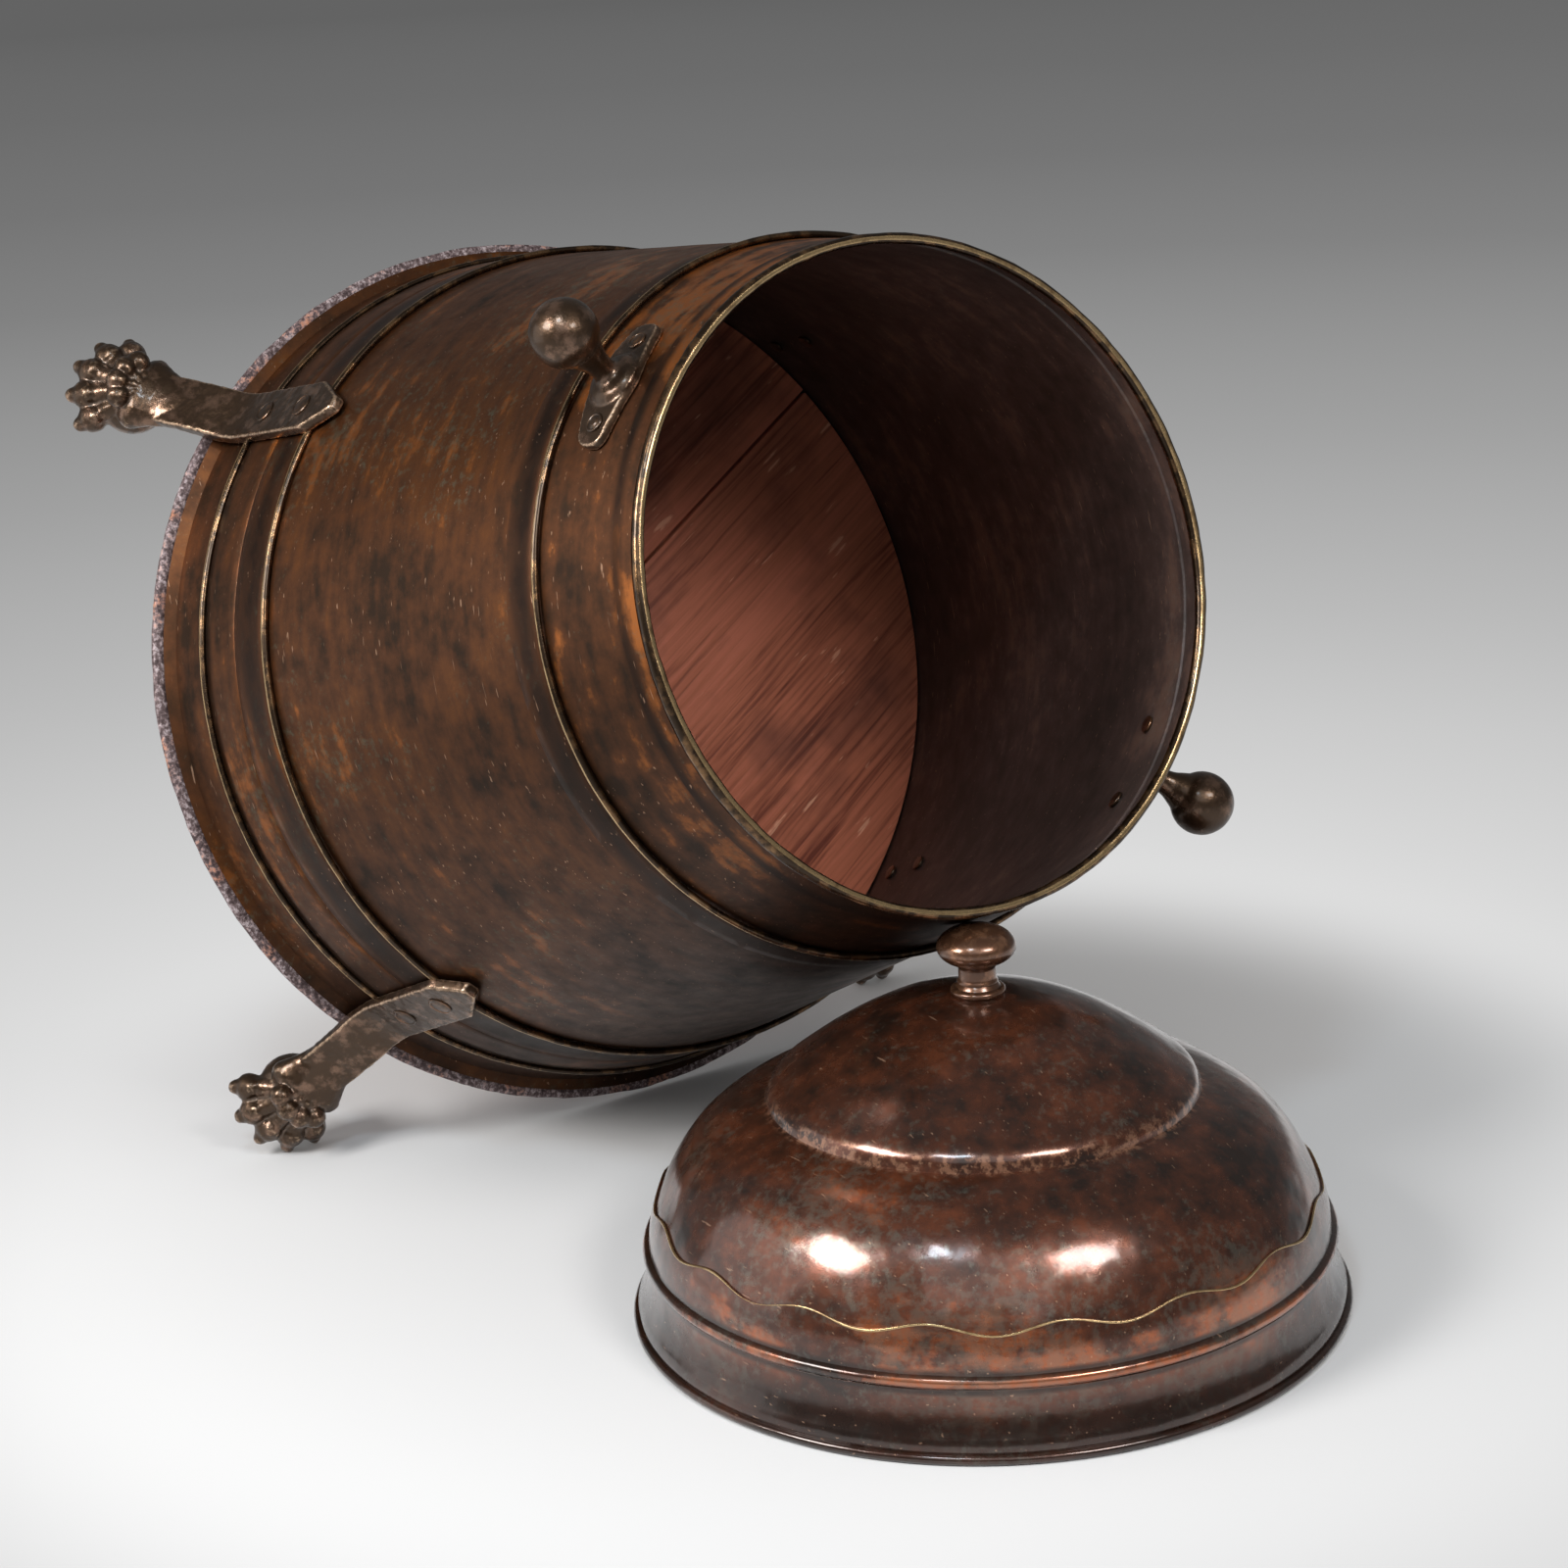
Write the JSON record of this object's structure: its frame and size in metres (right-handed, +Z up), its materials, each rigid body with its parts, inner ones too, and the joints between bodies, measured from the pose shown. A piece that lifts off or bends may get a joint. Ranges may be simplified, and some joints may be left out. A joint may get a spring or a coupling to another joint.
{
  "type": "coal scuttle",
  "caption": "Tapered round coal bin on paw feet with ball handles and a board floor, lying back with its mouth propped on the knob of its loose domed lid.",
  "frame": {"origin": "on the floor, under the middle of the overall box of the resting arrangement", "axes": "+Z up, +X the way the mouth faces, +Y to the side"},
  "size_m": [0.6496, 0.458, 0.4644],
  "materials": {
    "bin_copper": "dark brown patinated copper sheet, satin, rubbed orange on high spots",
    "lid_copper": "redder patinated copper sheet, hand-planished, semi-gloss",
    "worn_wire": "bright worn brass wire, satin",
    "cast_bronze": "dark cast brass with worn highlights, semi-gloss",
    "knob_brass": "handled cast brass, brown, semi-gloss",
    "forged_iron": "rough hammered wrought iron, purple-brown rust, matt",
    "board_wood": "red-brown softwood boards, worn and scratched, matt"
  },
  "bodies": {
    "scuttle": {"body_shell": "bin_copper", "mouth_rim_wire": "worn_wire", "upper_band": "bin_copper", "upper_band_wire": "worn_wire", "lower_band": "bin_copper", "lower_band_top_wire": "worn_wire", "lower_band_bottom_wire": "worn_wire", "iron_base_ring": "forged_iron", "floor_board_upper": "board_wood", "floor_board_lower": "board_wood", "paw_foot_1": "cast_bronze", "foot_1_lower_rivet": "cast_bronze", "foot_1_upper_rivet": "cast_bronze", "paw_foot_2": "cast_bronze", "foot_2_lower_rivet": "cast_bronze", "foot_2_upper_rivet": "cast_bronze", "paw_foot_3": "cast_bronze", "foot_3_lower_rivet": "cast_bronze", "foot_3_upper_rivet": "cast_bronze", "paw_foot_4": "cast_bronze", "foot_4_lower_rivet": "cast_bronze", "foot_4_upper_rivet": "cast_bronze", "ball_handle_1": "cast_bronze", "handle_1_left_rivet": "cast_bronze", "handle_1_right_rivet": "cast_bronze", "ball_handle_2": "cast_bronze", "handle_2_left_rivet": "cast_bronze", "handle_2_right_rivet": "cast_bronze"},
    "lid": {"lid_skirt": "lid_copper", "lid_seam_bead": "lid_copper", "lid_dome": "lid_copper", "lid_wavy_band": "lid_copper", "lid_crown": "lid_copper", "lid_knob_collar": "knob_brass", "lid_knob": "knob_brass", "lid_knob_nut": "knob_brass"}
  },
  "joints": [
    {"name": "lid_draw_out", "type": "slide", "parent": "scuttle", "child": "lid", "axis": [1, 0, 0], "range_m": [0, 0.35]}
  ]
}
